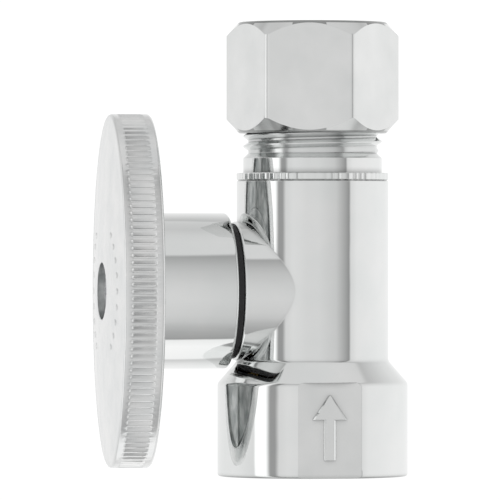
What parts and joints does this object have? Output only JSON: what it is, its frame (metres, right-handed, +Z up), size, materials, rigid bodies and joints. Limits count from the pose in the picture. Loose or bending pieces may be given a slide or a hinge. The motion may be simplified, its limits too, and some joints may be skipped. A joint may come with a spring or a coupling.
{
  "type": "straight supply stop valve",
  "caption": "Straight multi-turn supply stop valve with a threaded pipe socket below, a compression nut for a tube above and an oval handle at the side.",
  "frame": {"origin": "bottom centre of the valve's bounding box at rest, on the plane of the pipe socket's end face", "axes": "+Z up along the barrel from the pipe socket to the compression nut, the handle's stem runs towards -X, and a wrench flat faces -Y"},
  "size_m": [0.039, 0.0254, 0.0572],
  "materials": {
    "polished_chrome": "polished chrome plate on brass",
    "satin_chrome": "satin chrome plate on a cast zinc handle",
    "brass": "turned, unplated",
    "black_rubber": "moulded, matte",
    "zinc_plated_steel": "bright zinc plate"
  },
  "bodies": {
    "valve": {"valve_body": "polished_chrome", "bonnet_gasket": "black_rubber", "packing_washer": "brass", "packing_ring": "black_rubber", "friction_ring": "brass", "packing_nut": "brass"},
    "seat_disc": {"seat_washer": "black_rubber"},
    "handle": {"stem": "brass", "seat_washer_screw": "brass", "handle_sleeve": "polished_chrome", "oval_handle": "satin_chrome", "spring_washer": "zinc_plated_steel", "handle_screw": "zinc_plated_steel"},
    "tube_sleeve": {"compression_sleeve": "brass"},
    "outlet_nut": {"compression_nut": "polished_chrome"}
  },
  "joints": [
    {"name": "seat_travel", "type": "slide", "parent": "valve", "child": "seat_disc", "axis": [-1, 0, 0], "range_m": [0, 0.00424]},
    {"name": "handle_turn", "type": "hinge", "parent": "seat_disc", "child": "handle", "pos_m": [0, 0, 0.02335], "axis": [-1, 0, 0], "range_deg": [0, 1080]},
    {"name": "sleeve_travel", "type": "slide", "parent": "valve", "child": "tube_sleeve", "axis": [0, 0, 1], "range_m": [-0.00106, 0.00382]},
    {"name": "compression_nut_turn", "type": "hinge", "parent": "tube_sleeve", "child": "outlet_nut", "pos_m": [0.00752, 0, 0.04995], "axis": [0, 0, 1], "range_deg": [-300, 1080]}
  ],
  "couplings": [
    {"joint": "seat_travel", "follows": "handle_turn", "m_per_rad": 0.00022458},
    {"joint": "sleeve_travel", "follows": "compression_nut_turn", "m_per_rad": 0.00020213}
  ]
}
